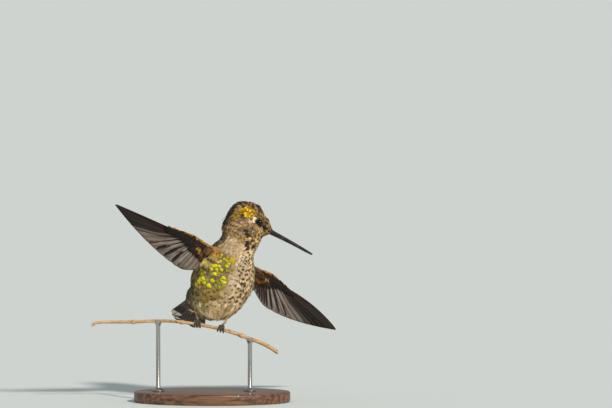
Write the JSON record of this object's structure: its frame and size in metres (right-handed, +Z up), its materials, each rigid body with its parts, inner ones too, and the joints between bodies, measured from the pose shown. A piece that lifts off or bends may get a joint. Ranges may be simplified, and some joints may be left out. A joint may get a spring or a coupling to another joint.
{
  "type": "hummingbird figure",
  "caption": "Life-size female hummingbird with opened wings and turned head, gripping a cut length of stem held over a small oval display stand.",
  "frame": {"origin": "centre of the underside of the stand's base", "axes": "+Z up; +X along the perch, towards the bird's left foot; +Y towards the bird's tail, away from the side it is looked at from"},
  "size_m": [0.0905, 0.0932, 0.0758],
  "materials": {
    "plumage_head": "small brown scaly feathers with a golden green sheen on the crown",
    "plumage_neck": "pale buff grey feathers",
    "plumage_body": "buff feathers with dusky spots and yellow green glints",
    "plumage_leg": "loose pale down",
    "wing_coverts": "short blackish brown feathers",
    "flight_feathers": "smooth grey brown vanes with dark shafts",
    "tail_feathers": "grey green vanes with a black band and pale tips",
    "eye": "wet gloss",
    "bill": "smooth dark horn",
    "foot_skin": "dark scaled skin",
    "stem": "dry tan bark",
    "stand_wood": "oiled dark wood",
    "stand_steel": "satin"
  },
  "bodies": {
    "root": {"head": "plumage_head", "neck": "plumage_neck", "trunk": "plumage_body", "eye_right": "eye", "eye_left": "eye", "bill_upper": "bill", "bill_lower": "bill", "wing_right_arm": "wing_coverts", "wing_right_hand": "flight_feathers", "wing_left_arm": "wing_coverts", "wing_left_hand": "flight_feathers", "tail": "tail_feathers", "thigh_right": "plumage_leg", "thigh_left": "plumage_leg", "tarsus_right": "foot_skin", "tarsus_left": "foot_skin", "toe_right_1": "foot_skin", "toe_right_2": "foot_skin", "toe_right_3": "foot_skin", "toe_right_4": "foot_skin", "toe_left_1": "foot_skin", "toe_left_2": "foot_skin", "toe_left_3": "foot_skin", "toe_left_4": "foot_skin", "claw_right_1": "bill", "claw_right_2": "bill", "claw_right_3": "bill", "claw_right_4": "bill", "claw_left_1": "bill", "claw_left_2": "bill", "claw_left_3": "bill", "claw_left_4": "bill", "perch": "stem", "stand_base": "stand_wood", "stand_rod_1": "stand_steel", "stand_rod_2": "stand_steel"}
  },
  "joints": []
}
